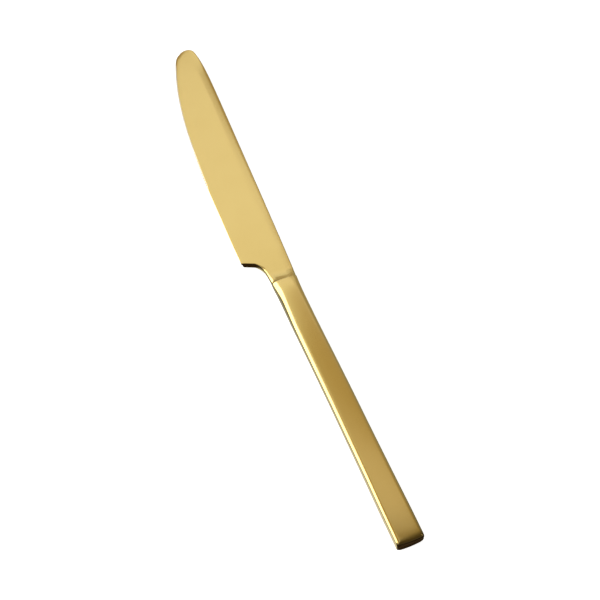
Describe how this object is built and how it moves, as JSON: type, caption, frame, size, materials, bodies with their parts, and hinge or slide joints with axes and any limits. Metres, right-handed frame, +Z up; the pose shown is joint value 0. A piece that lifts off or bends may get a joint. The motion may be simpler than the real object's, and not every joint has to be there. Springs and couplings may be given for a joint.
{
  "type": "table knife",
  "caption": "Table knife: round-tipped blade with a finely serrated edge, set by its tang into a slim flat hollow handle of brazed half shells, satin gold all over.",
  "frame": {"origin": "centre of the bounding box, on the plane of the handle's flat underside, which the knife lies on", "axes": "+X along the handle towards the butt, the blade tip at -X; -Y the cutting edge, +Y the spine; +Z up, normal to the handle's flat faces"},
  "size_m": [0.234, 0.0212, 0.0053],
  "materials": {
    "satin_gold_blade": "satin gold coating on stainless steel",
    "satin_gold_handle": "satin gold coating on stainless steel",
    "braze": "braze polished flush under the gold coating",
    "cement_filler": "rough cast handle cement"
  },
  "bodies": {
    "root": {"blade": "satin_gold_blade", "handle_upper_shell": "satin_gold_handle", "handle_lower_shell": "satin_gold_handle", "handle_seam_braze": "braze", "neck_braze": "braze", "handle_filler": "cement_filler"}
  },
  "joints": []
}
